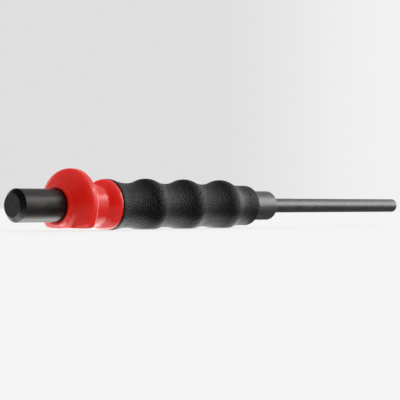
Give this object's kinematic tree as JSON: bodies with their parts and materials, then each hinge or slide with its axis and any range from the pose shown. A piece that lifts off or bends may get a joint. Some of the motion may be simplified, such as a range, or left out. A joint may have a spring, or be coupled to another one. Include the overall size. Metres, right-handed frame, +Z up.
{
  "type": "pin punch",
  "caption": "Sheathed pin punch: a round steel shank with a chamfered striking head and a slim parallel pin, in a push-on red hand guard with a soft black finger grip.",
  "frame": {"origin": "under the middle of the tool's length and width, on the surface that the grip's flats lie on", "axes": "+X along the tool from the striking head to the pin's tip, +Z up, away from the flats under the grip"},
  "size_m": [0.23, 0.027, 0.0226],
  "materials": {
    "dark_steel": "dark phosphated tool steel, satin, with fine turning marks",
    "red_plastic": "glossy moulded thermoplastic",
    "soft_grip": "finely grained soft elastomer, matt"
  },
  "bodies": {
    "punch": {"punch": "dark_steel"},
    "sheath": {"guard_sleeve": "red_plastic", "grip": "soft_grip"}
  },
  "joints": [
    {"name": "sheath_slide", "type": "slide", "parent": "punch", "child": "sheath", "axis": [-1, 0, 0], "range_m": [0, 0.13]}
  ]
}
